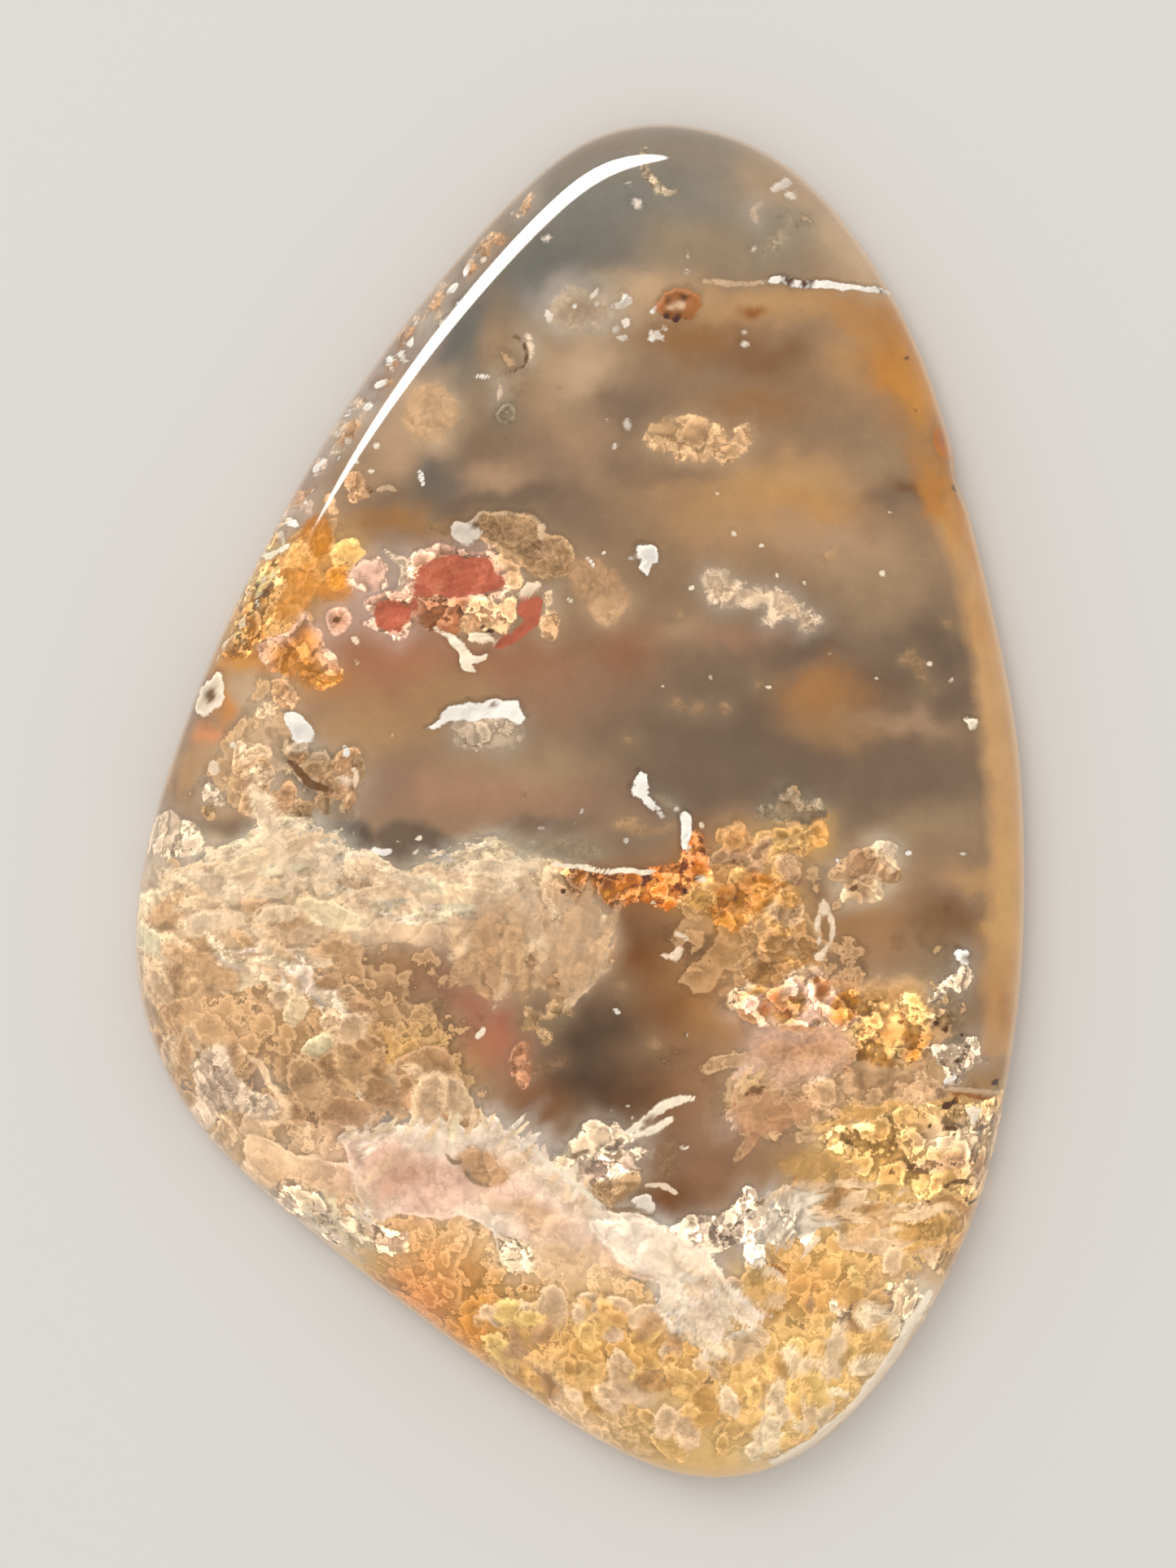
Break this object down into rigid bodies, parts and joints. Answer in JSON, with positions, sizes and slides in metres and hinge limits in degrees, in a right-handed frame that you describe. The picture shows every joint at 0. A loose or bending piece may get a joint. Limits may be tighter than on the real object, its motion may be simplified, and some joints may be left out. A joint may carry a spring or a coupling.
{
  "type": "plume agate cabochon",
  "caption": "Freeform polished agate cabochon with a low domed top, a thin straight edge and a flat back to rest on or be set by.",
  "frame": {"origin": "middle of the flat back, centred on the width and length", "axes": "+Z up out of the domed top, +Y along the stone to its narrow end, +X to the right when the dome is seen with +Y up"},
  "size_m": [0.0329, 0.05, 0.005],
  "materials": {
    "agate": "high polish over translucent agate with cream, orange and grey plumes"
  },
  "bodies": {
    "root": {"cabochon": "agate"}
  },
  "joints": []
}
